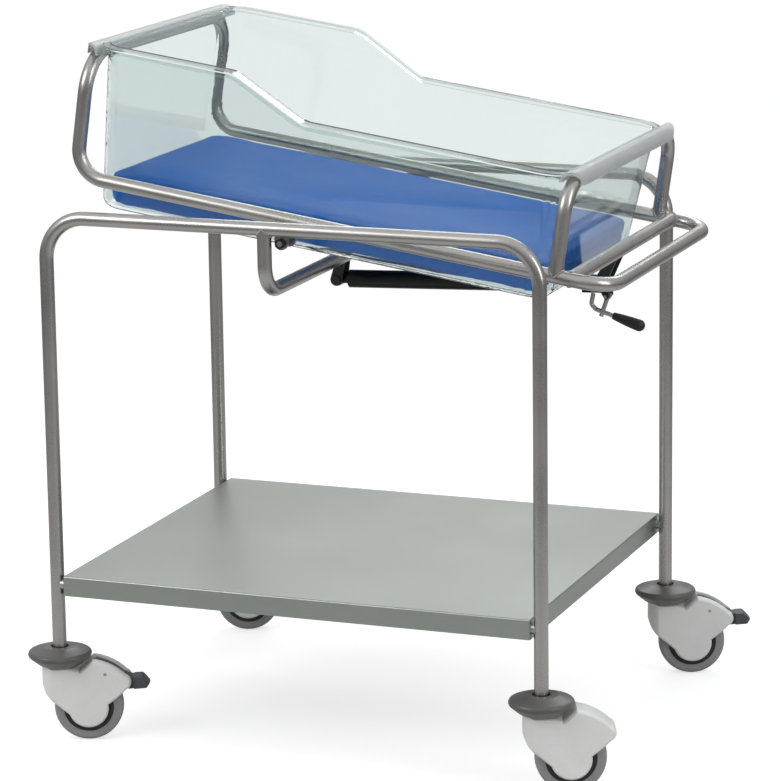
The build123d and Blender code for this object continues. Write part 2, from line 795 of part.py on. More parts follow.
with BuildPart() as castor_stem:
    with BuildSketch(Plane.XZ):
        with BuildLine():
            pin_bottom = disc_bottom - swivel_pin_length
            plug_top = leg_foot_height + stem_plug_length
            Polyline(
                (0, pin_bottom),
                (swivel_pin_radius, pin_bottom),
                (swivel_pin_radius, disc_bottom),
                (stem_collar_radius, disc_bottom),
                (stem_collar_radius, disc_bottom + stem_collar_height),
                (bore_radius, disc_bottom + stem_collar_height),
                (bore_radius, plug_top - tube_wall),
                (bore_radius - tube_wall, plug_top),
                (0, plug_top),
                close=True,
            )
        make_face()
    revolve(axis=Axis.Z)

with BuildPart() as castor_axle:
    with BuildSketch(Plane.XZ):
        with Locations((castor_trail, wheel_radius)):
            Circle(axle_radius)
    extrude(amount=casing_half_width - casing_skin, both=True)

with BuildPart() as wheel_hub:
    with BuildSketch(Plane.YZ.offset(castor_trail)):
        with BuildLine():
            Polyline(
                (-hub_half_width, wheel_radius + axle_radius + running_fit),
                (hub_half_width, wheel_radius + axle_radius + running_fit),
                (hub_half_width, wheel_radius + hub_radius),
                (web_half_thickness, wheel_radius + hub_radius),
                (web_half_thickness, wheel_radius + rim_inner_radius),
                (rim_half_width, wheel_radius + rim_inner_radius),
                (rim_half_width, wheel_radius + tyre_inner_radius),
                (-rim_half_width, wheel_radius + tyre_inner_radius),
                (-rim_half_width, wheel_radius + rim_inner_radius),
                (-web_half_thickness, wheel_radius + rim_inner_radius),
                (-web_half_thickness, wheel_radius + hub_radius),
                (-hub_half_width, wheel_radius + hub_radius),
                close=True,
            )
        make_face()
    revolve(axis=axle_axis)

with BuildPart() as tyre:
    with BuildSketch(Plane.YZ.offset(castor_trail)):
        with BuildLine():
            inner_z = wheel_radius + tyre_inner_radius
            shoulder_z = 2 * wheel_radius - tyre_shoulder
            tread_y = tyre_half_width - tyre_shoulder
            tread_z = 2 * wheel_radius - wheel_crown
            Polyline((-tyre_half_width, shoulder_z), (-tyre_half_width, inner_z),
                     (tyre_half_width, inner_z), (tyre_half_width, shoulder_z))
            TangentArc((tyre_half_width, shoulder_z), (tread_y, tread_z), tangent=(0, 1))
            ThreePointArc((tread_y, tread_z), (0, 2 * wheel_radius), (-tread_y, tread_z))
            TangentArc((-tyre_half_width, shoulder_z), (-tread_y, tread_z), tangent=(0, 1))
        make_face()
    revolve(axis=axle_axis)


def lobe_point(angle):
    """A point on the casing's round lobe about the axle."""
    lobe_x = castor_trail + casing_lobe_radius * cos(radians(angle))
    return (lobe_x, wheel_radius + casing_lobe_radius * sin(radians(angle)))


def castor_casing(braked):
    """The moulded casing: a neck under the disc, a crown over the wheel, a lobe each side."""
    with BuildPart() as casing:
        with BuildSketch(Plane.XZ):
            with BuildLine():
                Polyline(
                    (-casing_neck_radius, casing_heel_low),
                    (-casing_neck_radius, casing_top),
                    (casing_shoulder_x, casing_top),
                    casing_saddle,
                    casing_crown_start,
                )
                ThreePointArc(casing_crown_start, casing_crown_middle, casing_nose_top)
                ThreePointArc(casing_nose_top, casing_nose_tip, casing_nose_bottom)
                lobe_start = lobe_point(casing_lobe_start)
                lobe_end = lobe_point(casing_lobe_end)
                Polyline(casing_nose_bottom, casing_calf, lobe_start)
                ThreePointArc(lobe_start, lobe_point(-90), lobe_end)
                Line(lobe_end, casing_shin)
                heel_low = (-casing_neck_radius, casing_heel_low)
                ThreePointArc(casing_shin, casing_heel_hollow, heel_low)
            make_face()
        straight_half = casing_half_width - casing_draft_depth - casing_bevel_depth
        extrude(amount=straight_half, both=True)
        for depth, draft in (
            (casing_draft_depth, casing_draft),
            (casing_bevel_depth, casing_bevel),
        ):
            sides = casing.faces().filter_by(Axis.Y).sort_by(Axis.Y)
            extrude(sides[0], amount=depth, taper=draft)
            extrude(sides[-1], amount=depth, taper=draft)
        crown_length = pedal_neck_end + casing_half_width
        with BuildSketch(Plane.XY):
            Circle(casing_neck_radius)
            with Locations((castor_trail + casing_half_width / 2, 0)):
                RectangleRounded(crown_length, 2 * casing_half_width, casing_plan_corner)
        extrude(amount=disc_top, mode=Mode.INTERSECT)
        with BuildSketch(Plane.XZ):
            with Locations((castor_trail, wheel_radius)):
                Circle(wheel_radius + wheel_gap)
        extrude(amount=casing_cheek_gap, both=True, mode=Mode.SUBTRACT)
        with BuildSketch(Plane.XZ):
            with Locations((castor_trail, wheel_radius)):
                Circle(axle_radius)
        extrude(amount=casing_half_width - casing_skin, both=True, mode=Mode.SUBTRACT)
        with BuildSketch(Plane.XY.offset(casing_top)):
            Circle(swivel_pin_radius + running_fit)
        extrude(amount=-(swivel_pin_length + side_gap), mode=Mode.SUBTRACT)
        if braked:
            with BuildSketch(Plane.XZ):
                with Locations((brake_slot_start, wheel_radius)):
                    Rectangle(disc_top, disc_top, align=(Align.MIN, Align.MIN))
            extrude(amount=brake_slot_half_width, both=True, mode=Mode.SUBTRACT)
            with BuildSketch(Plane.XZ):
                with Locations((brake_pin_x, brake_pin_height)):
                    Circle(brake_pin_radius)
            extrude(amount=casing_half_width, both=True, mode=Mode.SUBTRACT)
    return casing.part


with BuildPart() as brake_pin:
    with BuildSketch(Plane.XZ):
        with Locations((brake_pin_x, brake_pin_height)):
            Circle(brake_pin_radius)
    extrude(amount=casing_half_width - brake_pin_inset, both=True)

shoe_radius = wheel_radius + brake_shoe_gap


def shoe_point(angle):
    """A point of the brake shoe's face, which is round about the axle."""
    shoe_x = castor_trail + shoe_radius * cos(radians(angle))
    return (shoe_x, wheel_radius + shoe_radius * sin(radians(angle)))


with BuildPart() as brake_pedal:
    with BuildSketch(Plane.XZ):
        with BuildLine():
            ThreePointArc(pedal_back, pedal_crown, pedal_front)
            Polyline(pedal_front, pedal_dip, pedal_knee, pedal_tip, pedal_toe, pedal_heel)
            shoe_low = shoe_point(shoe_low_angle)
            shoe_high = shoe_point(shoe_high_angle)
            Line(pedal_heel, shoe_low)
            ThreePointArc(shoe_low, shoe_point(shoe_middle_angle), shoe_high)
            Line(shoe_high, pedal_back)
        make_face()
        with Locations((brake_pin_x, brake_pin_height)):
            Circle(brake_boss_radius)
    extrude(amount=pedal_half_width, both=True)
    with BuildSketch(Plane.XY):
        neck_length = pedal_neck_end - brake_slot_start
        with Locations((brake_slot_start + neck_length / 2, 0)):
            Rectangle(neck_length, 2 * (brake_slot_half_width - side_gap))
        plate_length = pedal_tip[0] - pedal_neck_end
        with Locations((pedal_neck_end + plate_length / 2, 0)):
            RectangleRounded(plate_length, 2 * pedal_half_width, pedal_plan_round)
        with Locations((pedal_neck_end + plate_length / 4, 0)):
            Rectangle(plate_length / 2, 2 * pedal_half_width)
    extrude(amount=disc_top, mode=Mode.INTERSECT)
    with BuildSketch(Plane.XZ):
        with Locations((brake_pin_x, brake_pin_height)):
            Circle(brake_pin_radius + running_fit)
    extrude(amount=pedal_half_width, both=True, mode=Mode.SUBTRACT)

leg_places = []
for name, x, y, braked in (
    ("near_head", -leg_x, -leg_y, True),
    ("near_foot", leg_x, -leg_y, False),
    ("far_head", -leg_x, leg_y, False),
    ("far_foot", leg_x, leg_y, True),
):
    leg_place = Location((x, y, 0))
    leg_places.append(leg_place)
    castor_place = Location((x, y, 0), (0, 0, castor_trail_angle))
    keep(f"{name}_bumper_disc", bumper_disc.part, leg_place)
    casing = castor_casing(braked)
    keep(f"{name}_casing_right", split(casing, bisect_by=Plane.XZ, keep=Keep.TOP), castor_place)
    keep(f"{name}_casing_left", split(casing, bisect_by=Plane.XZ, keep=Keep.BOTTOM), castor_place)
    keep(f"{name}_axle", castor_axle.part, castor_place)
    keep(f"{name}_wheel_hub", wheel_hub.part, castor_place)
    keep(f"{name}_tyre", tyre.part, castor_place)
    if braked:
        keep(f"{name}_brake_pin", brake_pin.part, castor_place)
        keep(f"{name}_brake_pedal", brake_pedal.part, castor_place)

with BuildPart() as castor_stems:
    with Locations(*leg_places):
        add(castor_stem.part)
keep("castor_stems", castor_stems.part)

# The origin lies on the floor under the middle of the whole bassinet
boxes = [part.bounding_box() for part in pieces.values()]
middle_x = (min(box.min.X for box in boxes) + max(box.max.X for box in boxes)) / 2
middle_y = (min(box.min.Y for box in boxes) + max(box.max.Y for box in boxes)) / 2
floor_z = min(box.min.Z for box in boxes)
to_origin = Location((-middle_x, -middle_y, -floor_z))
os.makedirs("parts", exist_ok=True)
for name, part in pieces.items():
    placed = part.moved(to_origin)
    placed.label = name
    export_step(placed, f"parts/{name}.step")
print("moved to the origin by", to_origin.position, "with", len(pieces), "pieces")
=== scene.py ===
import bpy
import bmesh
import json
from math import cos, pi, radians, sin
from mathutils import Matrix, Vector


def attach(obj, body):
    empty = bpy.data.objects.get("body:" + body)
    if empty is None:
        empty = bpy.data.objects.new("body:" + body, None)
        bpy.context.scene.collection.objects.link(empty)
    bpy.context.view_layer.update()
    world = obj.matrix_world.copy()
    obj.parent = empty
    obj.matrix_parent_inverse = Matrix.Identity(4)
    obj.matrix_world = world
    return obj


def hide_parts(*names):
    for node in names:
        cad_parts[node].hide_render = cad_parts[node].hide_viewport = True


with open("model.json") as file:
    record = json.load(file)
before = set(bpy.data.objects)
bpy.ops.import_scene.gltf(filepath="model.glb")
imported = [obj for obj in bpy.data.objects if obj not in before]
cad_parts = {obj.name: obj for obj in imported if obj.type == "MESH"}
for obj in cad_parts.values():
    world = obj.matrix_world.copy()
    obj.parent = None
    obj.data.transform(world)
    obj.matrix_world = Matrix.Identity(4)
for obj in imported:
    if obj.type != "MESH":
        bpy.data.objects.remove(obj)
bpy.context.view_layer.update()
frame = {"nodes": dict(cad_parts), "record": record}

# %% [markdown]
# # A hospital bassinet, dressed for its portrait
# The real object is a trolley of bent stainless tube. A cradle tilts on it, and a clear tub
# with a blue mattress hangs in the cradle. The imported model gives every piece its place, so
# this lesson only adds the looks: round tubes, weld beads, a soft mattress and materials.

MM = 0.001
nodes = frame["nodes"]

# %% [markdown]
# ## Where things are
# The drawing of the bassinet counts from the middle of the four legs, in millimetres. The
# model's origin lies under the middle of the whole thing. Two small helpers turn the drawing's
# numbers into the model's metres, one for the trolley and one for the leaning cradle.

# %% Points of the drawing
DRAWING_SHIFT = Vector((-37.8361, -6.6325, 0.0))
PIVOT = Vector((-12.0, 0.0, 743.0))
CRADLE_LEAN = Matrix.Rotation(radians(8.4), 4, "Y")


def on_trolley(x, y, z):
    """A point of the trolley's drawing, in the model's metres."""
    return (Vector((x, y, z)) + DRAWING_SHIFT) * MM


def on_cradle(x, y, z):
    """A point of the level cradle's drawing, leaned about its pivots."""
    return (PIVOT + CRADLE_LEAN @ Vector((x, y, z)) + DRAWING_SHIFT) * MM


LEG_Y = 292.5
TOP_RAIL_Z = 764.0
DROP_MEMBER_X = -32.5
TUBE_RADIUS = 10.0
RAIL_Y = 238.85
RAIL_Z = 23.6
FOOT_HOOP_X = 381.7
CROSS_TUBE_X = 402.0
print("pivot at", [round(v, 4) for v in on_cradle(0, 0, 0)])

# %% [markdown]
# ## The camera
# The photograph looks down a little from the near foot side with a long lens. The camera's
# place and lens were worked out from the legs, rails and castors. The roll is a fraction of
# a degree, as when a camera is held almost level.

# %% Camera
PHOTO_WIDTH = 780
PHOTO_HEIGHT = 781
FOCAL_PIXELS = 3696.1
CAMERA_AT = Vector((1919.57, -4878.48, 1667.5))
CAMERA_TURN = radians(21.11)
CAMERA_DIP = radians(12.81)
CAMERA_ROLL = radians(-0.79)

camera_data = bpy.data.cameras.new("portrait_camera")
camera_data.sensor_width = 36.0
camera_data.lens = FOCAL_PIXELS / max(PHOTO_WIDTH, PHOTO_HEIGHT) * camera_data.sensor_width
camera_data.clip_end = 100.0
camera = bpy.data.objects.new("portrait_camera", camera_data)
bpy.context.scene.collection.objects.link(camera)
turned = Matrix.Rotation(CAMERA_TURN, 4, "Z")
dipped = Matrix.Rotation(pi / 2 - CAMERA_DIP, 4, "X")
rolled = Matrix.Rotation(CAMERA_ROLL, 4, "Z")
moved = Matrix.Translation((CAMERA_AT + DRAWING_SHIFT) * MM)
camera.matrix_world = moved @ (turned @ dipped) @ rolled
bpy.context.scene.camera = camera
print("lens", round(camera_data.lens, 1), "mm")

# %% [markdown]
# ## The studio
# Satin steel only looks like steel when it has something to mirror. The room is a pale floor,
# a soft sky that is darker near the horizon, and three large lamps. The background is white
# for the camera and through the tub, and metal mirrors a share of that white. The floor glows
# a little there, more with distance, so it stays white and still keeps the shadow.

# %% Small helpers for node trees
def add_node(tree, kind, **settings):
    """A new node with some of its settings changed."""
    node = tree.nodes.new(kind)
    for name, value in settings.items():
        setattr(node, name, value)
    return node


def wire(tree, start, start_socket, end, end_socket):
    """Joins an output of one node to an input of another."""
    tree.links.new(start.outputs[start_socket], end.inputs[end_socket])


def ramp_stops(ramp, stops):
    """Gives a colour ramp its stops: places from 0 to 1 and grey levels or colours."""
    while len(ramp.elements) < len(stops):
        ramp.elements.new(0.5)
    for element, (place, colour) in zip(ramp.elements, stops):
        element.position = place
        element.color = colour if len(colour) == 4 else (*colour, 1.0)


print("node helpers ready")

# %% Sky
MIRRORED_WHITE = 0.2
MIRRORED_FLOOR_LOSS = 0.1


def white_rays(tree):
    """How much of the white background a ray sees: all, a share in a mirror, or none."""
    rays = add_node(tree, "ShaderNodeLightPath")
    mirrored = add_node(tree, "ShaderNodeMath", operation="MULTIPLY")
    mirrored.inputs[1].default_value = MIRRORED_WHITE
    straight = add_node(tree, "ShaderNodeMath", operation="MAXIMUM")
    seen = add_node(tree, "ShaderNodeMath", operation="MAXIMUM")
    wire(tree, rays, "Is Glossy Ray", mirrored, 0)
    wire(tree, rays, "Is Camera Ray", straight, 0)
    wire(tree, rays, "Is Transmission Ray", straight, 1)
    wire(tree, straight, "Value", seen, 0)
    wire(tree, mirrored, "Value", seen, 1)
    return seen


world = bpy.data.worlds.new("studio_sky")
bpy.context.scene.world = world
world.use_nodes = True
sky = world.node_tree
sky.nodes.clear()
direction = add_node(sky, "ShaderNodeTexCoord")
height = add_node(sky, "ShaderNodeSeparateXYZ")
sky_ramp = add_node(sky, "ShaderNodeValToRGB")
ramp_stops(sky_ramp.color_ramp, [
    (0.0, (0.24, 0.235, 0.225)),
    (0.14, (0.28, 0.28, 0.275)),
    (0.45, (0.66, 0.67, 0.68)),
    (1.0, (1.0, 1.0, 1.0)),
])
room_light = add_node(sky, "ShaderNodeBackground")
room_light.inputs["Strength"].default_value = 0.85
seen_light = add_node(sky, "ShaderNodeBackground")
seen_light.inputs["Color"].default_value = (1.0, 1.0, 1.0, 1.0)
seen_light.inputs["Strength"].default_value = 1.0
seen = white_rays(sky)
choose = add_node(sky, "ShaderNodeMixShader")
sky_out = add_node(sky, "ShaderNodeOutputWorld")
wire(sky, direction, "Generated", height, "Vector")
wire(sky, height, "Z", sky_ramp, "Fac")
wire(sky, sky_ramp, "Color", room_light, "Color")
wire(sky, seen, "Value", choose, "Fac")
sky.links.new(room_light.outputs[0], choose.inputs[1])
sky.links.new(seen_light.outputs[0], choose.inputs[2])
wire(sky, choose, "Shader", sky_out, "Surface")
print("sky made")


# %% Floor and lamps
FLOOR_TONES = ((0.3, (0.58, 0.58, 0.58)), (0.7, (0.61, 0.61, 0.61)))
FLOOR_NEAR = 0.9
FLOOR_FAR = 3.0
NEAR_GLOW = 0.66


def floor_material():
    """A pale floor that shows white to the camera and keeps a soft shadow."""
    material = bpy.data.materials.new("studio_floor")
    material.use_nodes = True
    tree = material.node_tree
    shader = tree.nodes["Principled BSDF"]
    place = add_node(tree, "ShaderNodeTexCoord")
    cloud = add_node(tree, "ShaderNodeTexNoise")
    cloud.inputs["Scale"].default_value = 1.5
    tone = add_node(tree, "ShaderNodeValToRGB")
    ramp_stops(tone.color_ramp, FLOOR_TONES)
    wire(tree, place, "Object", cloud, "Vector")
    wire(tree, cloud, "Fac", tone, "Fac")
    shader.inputs["Roughness"].default_value = 0.9
    shader.inputs["Specular IOR Level"].default_value = 0.1
    shader.inputs["Emission Color"].default_value = (1.0, 1.0, 1.0, 1.0)
    away = add_node(tree, "ShaderNodeVectorMath", operation="LENGTH")
    far = add_node(tree, "ShaderNodeMapRange")
    far.inputs["From Min"].default_value = FLOOR_NEAR
    far.inputs["From Max"].default_value = FLOOR_FAR
    brighter = add_node(tree, "ShaderNodeMapRange")
    brighter.inputs["To Min"].default_value = NEAR_GLOW
    near = add_node(tree, "ShaderNodeMath", operation="SUBTRACT")
    near.inputs[0].default_value = 1.0
    glow = add_node(tree, "ShaderNodeMath", operation="MULTIPLY")
    rays = add_node(tree, "ShaderNodeLightPath")
    lost = add_node(tree, "ShaderNodeMath", operation="MULTIPLY")
    lost.inputs[1].default_value = MIRRORED_FLOOR_LOSS
    kept = add_node(tree, "ShaderNodeMath", operation="SUBTRACT")
    kept.inputs[0].default_value = 1.0
    share = add_node(tree, "ShaderNodeMath", operation="MULTIPLY")
    shown = add_node(tree, "ShaderNodeVectorMath", operation="SCALE")
    wire(tree, place, "Object", away, 0)
    wire(tree, away, "Value", far, "Value")
    wire(tree, far, "Result", brighter, "Value")
    wire(tree, far, "Result", near, 1)
    wire(tree, brighter, "Result", glow, 1)
    wire(tree, white_rays(tree), "Value", glow, 0)
    wire(tree, rays, "Is Glossy Ray", lost, 0)
    wire(tree, lost, "Value", kept, 1)
    wire(tree, near, "Value", share, 0)
    wire(tree, kept, "Value", share, 1)
    wire(tree, tone, "Color", shown, 0)
    wire(tree, share, "Value", shown, "Scale")
    wire(tree, shown, "Vector", shader, "Base Color")
    wire(tree, glow, "Value", shader, "Emission Strength")
    return material


FLOOR_HALF = 20.0
floor_mesh = bpy.data.meshes.new("studio_floor")
floor_mesh.from_pydata(
    [(-FLOOR_HALF, -FLOOR_HALF, 0), (FLOOR_HALF, -FLOOR_HALF, 0),
     (FLOOR_HALF, FLOOR_HALF, 0), (-FLOOR_HALF, FLOOR_HALF, 0)],
    [], [(0, 1, 2, 3)],
)
floor = bpy.data.objects.new("studio_floor", floor_mesh)
bpy.context.scene.collection.objects.link(floor)
floor_mesh.materials.append(floor_material())

LAMPS = {
    "window_lamp": ((-2.6, -3.2, 3.0), (2.4, 2.0), 60.0),
    "right_lamp": ((3.6, -1.2, 2.2), (1.2, 2.4), 34.0),
    "back_lamp": ((-0.8, 3.8, 3.2), (3.0, 1.2), 45.0),
}
for name, (spot, size, power) in LAMPS.items():
    lamp_data = bpy.data.lights.new(name, "AREA")
    lamp_data.shape = "RECTANGLE"
    lamp_data.size, lamp_data.size_y = size
    lamp_data.energy = power
    lamp = bpy.data.objects.new(name, lamp_data)
    bpy.context.scene.collection.objects.link(lamp)
    aim = Vector((0, 0, 0.6)) - Vector(spot)
    lamp.matrix_world = Matrix.Translation(spot) @ aim.to_track_quat("-Z", "Y").to_matrix().to_4x4()
bpy.context.scene.view_settings.view_transform = "Standard"
print("floor and", len(LAMPS), "lamps")

# %% [markdown]
# ## Shared surface effects
# Real surfaces are never one even colour. Two effects come back in almost every finish here:
# fine polishing marks on metal, and the small grain and cloudiness of moulded plastic. Each
# is a node group with named inputs, so that a material only sets its own values.

# %% Group: polishing marks
# A Mix node keeps its numbers and its colours in different sockets
NUMBER_A, NUMBER_B, COLOUR_A, COLOUR_B = 2, 3, 6, 7
NUMBER_OUT, COLOUR_OUT = 0, 2


def group_socket(tree, name, kind, side, value=None):
    """A named socket on a node group."""
    socket = tree.interface.new_socket(name=name, in_out=side, socket_type=kind)
    if value is not None:
        socket.default_value = value
    return socket


def surface_group(name, stretch, scale, cloud_scale):
    """Fine marks over slow clouds: puts out a colour, a roughness and a height."""
    tree = bpy.data.node_groups.new(name, "ShaderNodeTree")
    group_socket(tree, "Light Tone", "NodeSocketColor", "INPUT", (0.8, 0.8, 0.8, 1))
    group_socket(tree, "Dark Tone", "NodeSocketColor", "INPUT", (0.5, 0.5, 0.5, 1))
    group_socket(tree, "Smoothest", "NodeSocketFloat", "INPUT", 0.25)
    group_socket(tree, "Roughest", "NodeSocketFloat", "INPUT", 0.4)
    group_socket(tree, "Stretch", "NodeSocketVector", "INPUT", stretch)
    group_socket(tree, "Mark Scale", "NodeSocketFloat", "INPUT", scale)
    group_socket(tree, "Cloud Scale", "NodeSocketFloat", "INPUT", cloud_scale)
    group_socket(tree, "Cloud Share", "NodeSocketFloat", "INPUT", 0.5)
    group_socket(tree, "Colour", "NodeSocketColor", "OUTPUT")
    group_socket(tree, "Roughness", "NodeSocketFloat", "OUTPUT")
    group_socket(tree, "Height", "NodeSocketFloat", "OUTPUT")
    given = add_node(tree, "NodeGroupInput")
    result = add_node(tree, "NodeGroupOutput")
    place = add_node(tree, "ShaderNodeTexCoord")
    stretched = add_node(tree, "ShaderNodeVectorMath", operation="MULTIPLY")
    wire(tree, place, "Object", stretched, 0)
    wire(tree, given, "Stretch", stretched, 1)
    marks = add_node(tree, "ShaderNodeTexNoise")
    marks.inputs["Detail"].default_value = 3.0
    wire(tree, stretched, "Vector", marks, "Vector")
    wire(tree, given, "Mark Scale", marks, "Scale")
    clouds = add_node(tree, "ShaderNodeTexNoise")
    clouds.inputs["Detail"].default_value = 2.0
    wire(tree, place, "Object", clouds, "Vector")
    wire(tree, given, "Cloud Scale", clouds, "Scale")
    both = add_node(tree, "ShaderNodeMix")
    wire(tree, given, "Cloud Share", both, "Factor")
    tree.links.new(marks.outputs["Fac"], both.inputs[NUMBER_A])
    tree.links.new(clouds.outputs["Fac"], both.inputs[NUMBER_B])
    spread = add_node(tree, "ShaderNodeMapRange")
    spread.inputs["From Min"].default_value = 0.32
    spread.inputs["From Max"].default_value = 0.68
    tree.links.new(both.outputs[NUMBER_OUT], spread.inputs["Value"])
    tint = add_node(tree, "ShaderNodeMix", data_type="RGBA")
    wire(tree, spread, "Result", tint, "Factor")
    tree.links.new(given.outputs["Dark Tone"], tint.inputs[COLOUR_A])
    tree.links.new(given.outputs["Light Tone"], tint.inputs[COLOUR_B])
    gloss = add_node(tree, "ShaderNodeMapRange")
    wire(tree, spread, "Result", gloss, "Value")
    wire(tree, given, "Smoothest", gloss, "To Min")
    wire(tree, given, "Roughest", gloss, "To Max")
    tree.links.new(tint.outputs[COLOUR_OUT], result.inputs["Colour"])
    wire(tree, gloss, "Result", result, "Roughness")
    wire(tree, marks, "Fac", result, "Height")
    return tree


polishing_marks = surface_group("Polishing marks", (1.0, 1.0, 1.0), 700.0, 9.0)
moulded_grain = surface_group("Moulded grain", (1.0, 1.0, 1.0), 900.0, 30.0)
print("groups:", [group.name for group in bpy.data.node_groups])

# %% [markdown]
# ## One recipe for a finish
# Steel, paint, rubber and plastic all follow the same plan: a surface group gives the colour,
# the roughness and a tiny relief, and the shader keeps the plain numbers such as metallic.

# %% Finish recipe
finishes = {}


def finish(name, group, light, dark, gloss, stretch=(1, 1, 1), marks=700.0, clouds=9.0,
           cloud_share=0.5, relief=0.02, depth=0.0002, **sockets):
    """A Principled material that takes its colour, gloss and relief from a surface group."""
    material = bpy.data.materials.new(name)
    material.use_nodes = True
    tree = material.node_tree
    shader = tree.nodes["Principled BSDF"]
    surface = add_node(tree, "ShaderNodeGroup")
    surface.node_tree = group
    surface.inputs["Light Tone"].default_value = (*light, 1.0)
    surface.inputs["Dark Tone"].default_value = (*dark, 1.0)
    surface.inputs["Smoothest"].default_value = gloss[0]
    surface.inputs["Roughest"].default_value = gloss[1]
    surface.inputs["Stretch"].default_value = stretch
    surface.inputs["Mark Scale"].default_value = marks
    surface.inputs["Cloud Scale"].default_value = clouds
    surface.inputs["Cloud Share"].default_value = cloud_share
    bump = add_node(tree, "ShaderNodeBump")
    bump.inputs["Strength"].default_value = relief
    bump.inputs["Distance"].default_value = depth
    wire(tree, surface, "Colour", shader, "Base Color")
    wire(tree, surface, "Roughness", shader, "Roughness")
    wire(tree, surface, "Height", bump, "Height")
    wire(tree, bump, "Normal", shader, "Normal")
    for socket, value in sockets.items():
        shader.inputs[socket.replace("_", " ")].default_value = value
    finishes[name] = material
    return material


STEEL_LIGHT = (0.52, 0.51, 0.49)
STEEL_DARK = (0.40, 0.39, 0.375)
finish("stainless_tube", polishing_marks, STEEL_LIGHT, STEEL_DARK, (0.24, 0.36),
       relief=0.03, Metallic=1.0)
finish("stainless_sheet", polishing_marks, (0.40, 0.43, 0.40), (0.355, 0.385, 0.355), (0.30, 0.40),
       stretch=(1, 40, 40), marks=30.0, clouds=3.0, cloud_share=0.35, relief=0.1,
       Metallic=1.0)
finish("stainless_fittings", polishing_marks, (0.50, 0.50, 0.49), (0.36, 0.36, 0.355), (0.26, 0.42),
       clouds=60.0, relief=0.2, Metallic=1.0)
finish("weld_metal", polishing_marks, (0.46, 0.45, 0.43), (0.30, 0.29, 0.28), (0.28, 0.5),
       clouds=200.0, relief=0.3, Metallic=1.0)
# Painted shade: this near-black colour stands in for steel bracket plates that lie in shade.
finish("bracket_black", moulded_grain, (0.035, 0.035, 0.037), (0.02, 0.02, 0.021), (0.3, 0.45),
       clouds=60.0, relief=0.25, depth=0.0004)
finish("dark_nuts", moulded_grain, (0.05, 0.05, 0.052), (0.025, 0.025, 0.027), (0.3, 0.45),
       clouds=120.0, relief=0.2, Metallic=0.6)
finish("bush_plastic", moulded_grain, (0.06, 0.06, 0.06), (0.04, 0.04, 0.04), (0.45, 0.6),
       relief=0.3)
finish("spring_black_paint", moulded_grain, (0.012, 0.012, 0.013), (0.006, 0.006, 0.007),
       (0.28, 0.42), clouds=40.0, relief=0.25, depth=0.0004, Specular_IOR_Level=0.35)
finish("polished_rod", polishing_marks, (0.6, 0.6, 0.6), (0.5, 0.5, 0.5), (0.08, 0.16),
       relief=0.05, Metallic=1.0)
finish("lever_steel", polishing_marks, (0.5, 0.5, 0.49), (0.34, 0.34, 0.33), (0.22, 0.38),
       clouds=80.0, relief=0.2, Metallic=1.0)
finish("grip_rubber", moulded_grain, (0.02, 0.02, 0.021), (0.01, 0.01, 0.011), (0.38, 0.55),
       clouds=70.0, relief=0.5, depth=0.0004)
finish("castor_steel", polishing_marks, (0.5, 0.5, 0.49), (0.36, 0.36, 0.35), (0.25, 0.4),
       Metallic=1.0)
finish("disc_grey", moulded_grain, (0.135, 0.133, 0.129), (0.100, 0.098, 0.095), (0.28, 0.40),
       clouds=45.0, relief=0.35, depth=0.0004)
finish("casing_plastic", moulded_grain, (0.88, 0.885, 0.87), (0.81, 0.815, 0.80), (0.32, 0.45),
       clouds=35.0, relief=0.4, depth=0.0004)
# Painted shade: the hub and rim are near black, so the recess between the casing and the tyre shows
# as a dark ring; that ring is shade in the recess.
finish("hub_plastic", moulded_grain, (0.03, 0.03, 0.03), (0.018, 0.018, 0.018), (0.45, 0.6),
       clouds=35.0, relief=0.3, depth=0.0004)
finish("tyre_grey", moulded_grain, (0.34, 0.342, 0.338), (0.27, 0.272, 0.268), (0.5, 0.7),
       clouds=60.0, relief=0.6, depth=0.0005)
finish("pedal_plastic", moulded_grain, (0.085, 0.087, 0.092), (0.055, 0.056, 0.06), (0.35, 0.5),
       clouds=50.0, relief=0.4, depth=0.0004)
finish("mattress_cover", moulded_grain, (0.016, 0.17, 0.62), (0.012, 0.13, 0.52), (0.45, 0.58),
       marks=520.0, clouds=14.0, relief=0.12, depth=0.0005, Specular_IOR_Level=0.12)
finish("clear_plastic", moulded_grain, (0.79, 0.845, 0.84), (0.76, 0.82, 0.815), (0.01, 0.035),
       marks=260.0, clouds=4.0, relief=0.01, depth=0.0001, Transmission_Weight=1.0, IOR=1.36,
       Specular_IOR_Level=0.2)
finish("hook_plastic", moulded_grain, (0.78, 0.81, 0.805), (0.70, 0.735, 0.73), (0.28, 0.38),
       marks=260.0, clouds=12.0, relief=0.05, depth=0.0002, Transmission_Weight=0.5, IOR=1.2,
       Specular_IOR_Level=0.3)
print(len(finishes), "finishes")

# %% [markdown]
# ## Smooth skins over the solids
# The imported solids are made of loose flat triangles. Where a solid's shape is right, a copy of
# it is merged, shaded smooth up to its sharp edges, and given weighted normals, so that flat
# faces stay flat and fillets look round.

# %% Smooth skins
SLOT_OF = {part["node"]: part["material_slot"] for part in frame["record"]["subparts"]}
BODY_OF = {name: body for body, names in frame["record"]["behaviour"]["bodies"].items()
           for name in names}
SHARP_FROM = radians(32.0)


def show(name, mesh, node, *also, material=None):
    """Puts a finished mesh in the scene, on its solid's body, in place of its solid."""
    piece = bpy.data.objects.new(name, mesh)
    bpy.context.scene.collection.objects.link(piece)
    mesh.materials.clear()
    mesh.materials.append(finishes[material or SLOT_OF[node]])
    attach(piece, BODY_OF[node])
    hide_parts(node, *also)
    return piece


